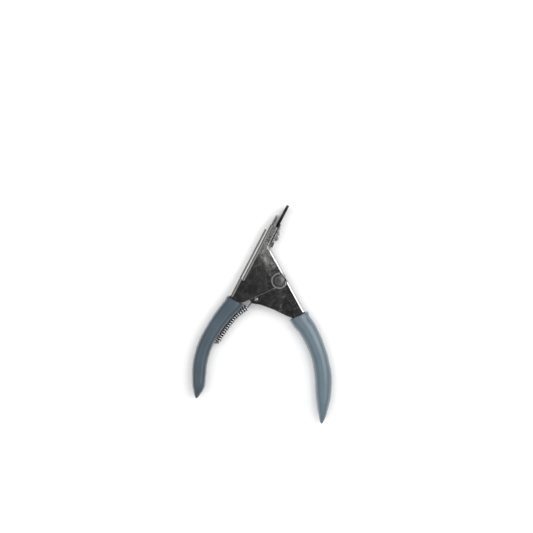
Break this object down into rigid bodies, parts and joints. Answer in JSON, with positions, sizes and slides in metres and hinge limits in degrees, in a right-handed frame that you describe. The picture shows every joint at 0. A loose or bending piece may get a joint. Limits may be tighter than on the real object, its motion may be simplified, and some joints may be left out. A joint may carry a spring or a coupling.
{
  "type": "guillotine nail clipper",
  "caption": "Plier-style guillotine nail clipper for pets: a fixed ring, a sliding blade driven by a pivoting lever, soft-coated handles and a return spring.",
  "frame": {"origin": "centre of the bounding box's bottom face; the clipper lies on its side", "axes": "+Y from the handle ends to the cutting ring, +Z across the sheet-metal layers and up from the surface it lies on, +X towards the moving handle; the handles swing in the XY plane"},
  "size_m": [0.0788, 0.1238, 0.0146],
  "materials": {
    "plated_steel": "bright nickel-chrome plate over pressed sheet",
    "grip_vinyl": "glossy soft vinyl, slate blue-grey",
    "black_steel": "black oxide, satin",
    "spring_leaf_steel": "satin leaf steel",
    "plain_steel": "plain turned or cut steel",
    "rivet_steel": "dark satin, slightly domed",
    "bush_brass": "sintered bronze",
    "spring_wire": "bright plated spring wire",
    "carrier_steel": "pressed steel, lightly brushed along its length",
    "blade_steel": "ground and honed",
    "screw_steel": "bright plated screw"
  },
  "bodies": {
    "frame": {"fixed_frame": "plated_steel", "fixed_grip": "grip_vinyl", "ring_plate": "black_steel", "ring_backing_plate": "spring_leaf_steel", "head_spacer": "plain_steel", "carrier_guide": "plated_steel", "pivot_rivet": "rivet_steel", "spring_anchor_pin": "plain_steel"},
    "lever": {"moving_lever": "plated_steel", "moving_grip": "grip_vinyl", "pivot_bush": "bush_brass", "drive_pin": "plain_steel", "spring_post": "plain_steel", "return_spring": "spring_wire"},
    "carriage": {"blade_carrier": "carrier_steel", "blade": "blade_steel", "blade_screw": "screw_steel", "blade_lock_washer": "plain_steel"}
  },
  "joints": [
    {"name": "lever_pivot", "type": "hinge", "parent": "frame", "child": "lever", "pos_m": [0.00976, 0.01889, 0.0073], "axis": [0, 0, -1], "range_deg": [0, 33.4], "stiffness_Nm_per_rad": 0.05, "springref_deg": -51.57, "deforming": ["return_spring"]},
    {"name": "blade_slide", "type": "slide", "parent": "frame", "child": "carriage", "axis": [0.4617, 0.887, 0], "range_m": [0, 0.0093]}
  ],
  "couplings": [
    {"joint": "blade_slide", "follows": "lever_pivot", "m_per_rad": 0.015748}
  ]
}
